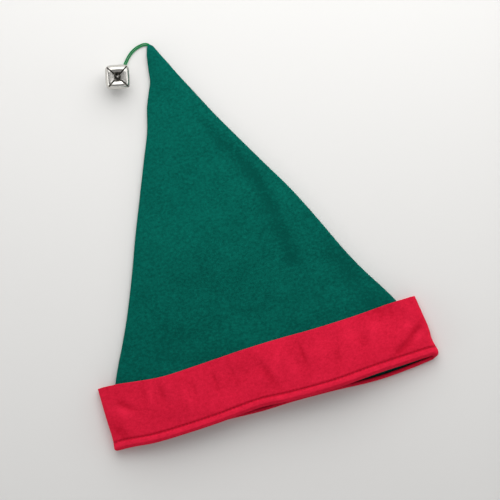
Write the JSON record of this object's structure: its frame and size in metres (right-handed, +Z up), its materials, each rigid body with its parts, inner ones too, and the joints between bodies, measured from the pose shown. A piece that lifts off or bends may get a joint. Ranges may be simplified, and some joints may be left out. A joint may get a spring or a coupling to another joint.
{
  "type": "elf hat",
  "caption": "Tall cone hat of green felt lying flat, with a turned-up red cuff, and a jingle bell on a loop of thin cord at its tip.",
  "frame": {"origin": "middle of the cuff's flat underside, on the surface that the hat lies on", "axes": "+Y along the hat from the mouth to the tip, +X to the right across the mouth, +Z up from the surface"},
  "size_m": [0.283, 0.3284, 0.0238],
  "materials": {
    "crown_felt": "matt green felt",
    "cuff_felt": "matt red felt",
    "cord": "twisted green cord",
    "bell_plate": "bright nickel plating on sheet steel",
    "pellet_steel": "plain steel ball"
  },
  "bodies": {
    "root": {"crown": "crown_felt", "cuff": "cuff_felt", "bell_cord": "cord", "bell_shell": "bell_plate", "bell_hanger": "bell_plate", "bell_pellet": "pellet_steel"}
  },
  "joints": []
}
